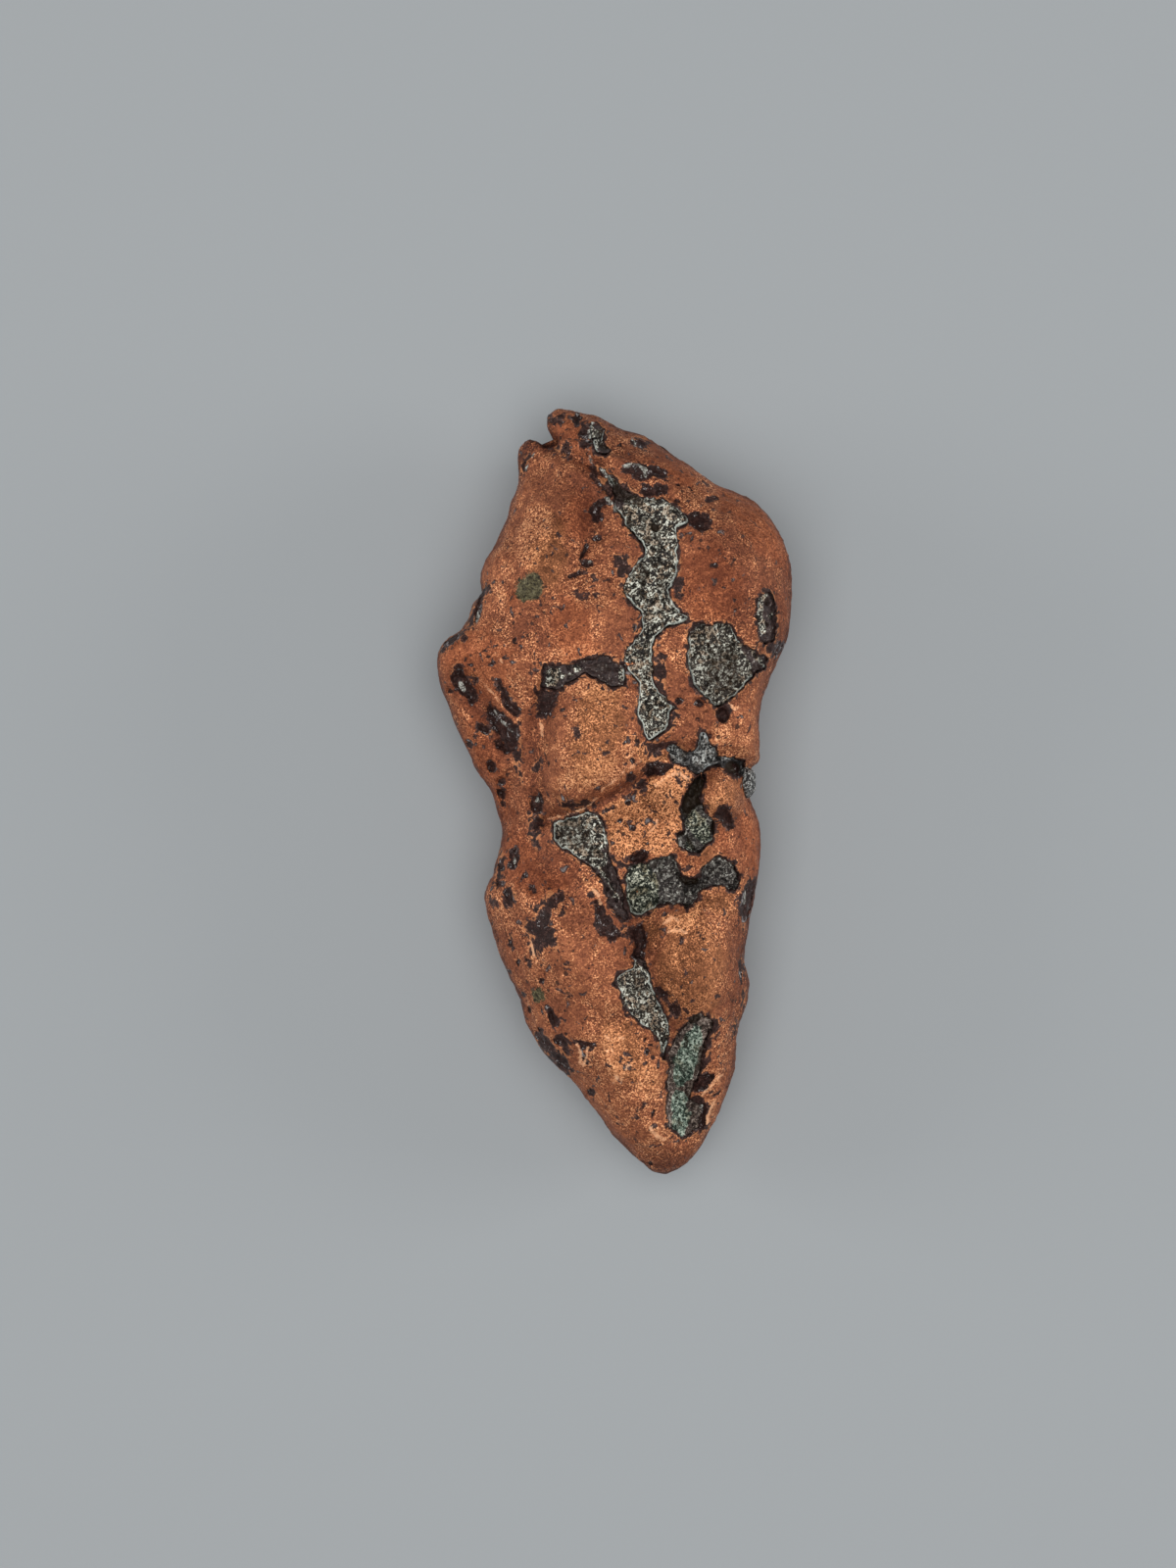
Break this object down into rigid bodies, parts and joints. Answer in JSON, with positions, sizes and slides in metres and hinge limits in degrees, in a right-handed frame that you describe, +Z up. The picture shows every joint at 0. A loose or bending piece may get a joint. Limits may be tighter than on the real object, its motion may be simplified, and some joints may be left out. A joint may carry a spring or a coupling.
{
  "type": "native copper nugget",
  "caption": "Worn elongated nugget of native copper with grey gangue veins and pockets, a green malachite slot and a flat underside to rest on.",
  "frame": {"origin": "middle of the nugget's plan, on the plane it rests on", "axes": "+Y along its length towards the blunt peak, +X across it, +Z up from the resting plane"},
  "size_m": [0.0362, 0.0784, 0.0211],
  "materials": {
    "copper": "satin",
    "gangue": "matte",
    "blue_grey_mineral": "satin",
    "olive_mineral": "matte",
    "malachite": "matte"
  },
  "bodies": {
    "root": {"copper_body": "copper", "central_vein_fill": "gangue", "right_pocket_fill": "gangue", "peak_fill": "gangue", "crack_fill": "gangue", "saddle_fill": "blue_grey_mineral", "edge_fill": "blue_grey_mineral", "diagonal_fill": "olive_mineral", "left_pocket_fill": "gangue", "basin_fill": "olive_mineral", "lower_vein_fill": "gangue", "malachite_fill": "malachite", "side_pit_fill": "gangue"}
  },
  "joints": []
}
